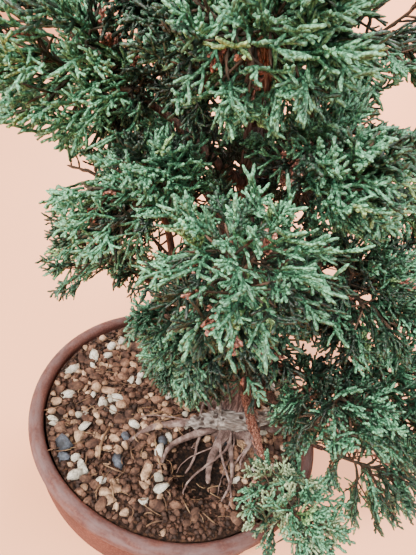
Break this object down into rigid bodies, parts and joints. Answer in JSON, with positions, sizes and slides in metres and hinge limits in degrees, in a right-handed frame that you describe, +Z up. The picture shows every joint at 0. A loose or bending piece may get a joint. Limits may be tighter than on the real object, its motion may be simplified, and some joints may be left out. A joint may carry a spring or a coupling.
{
  "type": "potted juniper bonsai",
  "caption": "Small juniper bonsai with a leaning trunk, surface roots, tapering boughs and a bushy evergreen crown, in a round unglazed clay pot filled with grit.",
  "frame": {"origin": "centre of the pot's flat underside", "axes": "+Z up, -Y towards the viewer of the picture, +X to the right, the side the trunk stands on"},
  "size_m": [0.2426, 0.2117, 0.3672],
  "materials": {
    "terracotta": "matt unglazed",
    "grit": "rough granular",
    "bark": "fibrous bark",
    "deadwood": "weathered bare wood",
    "foliage": "scale leaves, slightly waxy"
  },
  "bodies": {
    "root": {"pot": "terracotta", "soil": "grit", "trunk": "bark", "deadwood_stub": "deadwood", "bough_back": "bark", "bough_back_left": "bark", "bough_centre": "bark", "bough_front": "bark", "bough_front_left": "bark", "bough_high_left": "bark", "bough_high_right": "bark", "bough_low_back": "bark", "bough_low_back_left": "bark", "bough_low_back_right": "bark", "bough_low_centre": "bark", "bough_low_far_right": "bark", "bough_low_front": "bark", "bough_low_left": "bark", "bough_low_right_front": "bark", "bough_mid_centre": "bark", "bough_mid_front": "bark", "bough_mid_left": "bark", "bough_mid_right": "bark", "bough_right": "bark", "bough_right_front": "bark", "bough_upper_back": "bark", "bough_upper_back_right": "bark", "bough_upper_front": "bark", "bough_upper_left": "bark", "bough_upper_right": "bark", "foliage_apex": "foliage", "foliage_back": "foliage", "foliage_back_left": "foliage", "foliage_centre": "foliage", "foliage_front": "foliage", "foliage_front_left": "foliage", "foliage_high_left": "foliage", "foliage_high_right": "foliage", "foliage_low_back": "foliage", "foliage_low_back_left": "foliage", "foliage_low_back_right": "foliage", "foliage_low_centre": "foliage", "foliage_low_far_right": "foliage", "foliage_low_front": "foliage", "foliage_low_left": "foliage", "foliage_low_right_front": "foliage", "foliage_mid_centre": "foliage", "foliage_mid_front": "foliage", "foliage_mid_left": "foliage", "foliage_mid_right": "foliage", "foliage_right": "foliage", "foliage_right_front": "foliage", "foliage_top_back": "foliage", "foliage_top_front": "foliage", "foliage_upper_back": "foliage", "foliage_upper_back_right": "foliage", "foliage_upper_front": "foliage", "foliage_upper_left": "foliage", "foliage_upper_right": "foliage"}
  },
  "joints": []
}
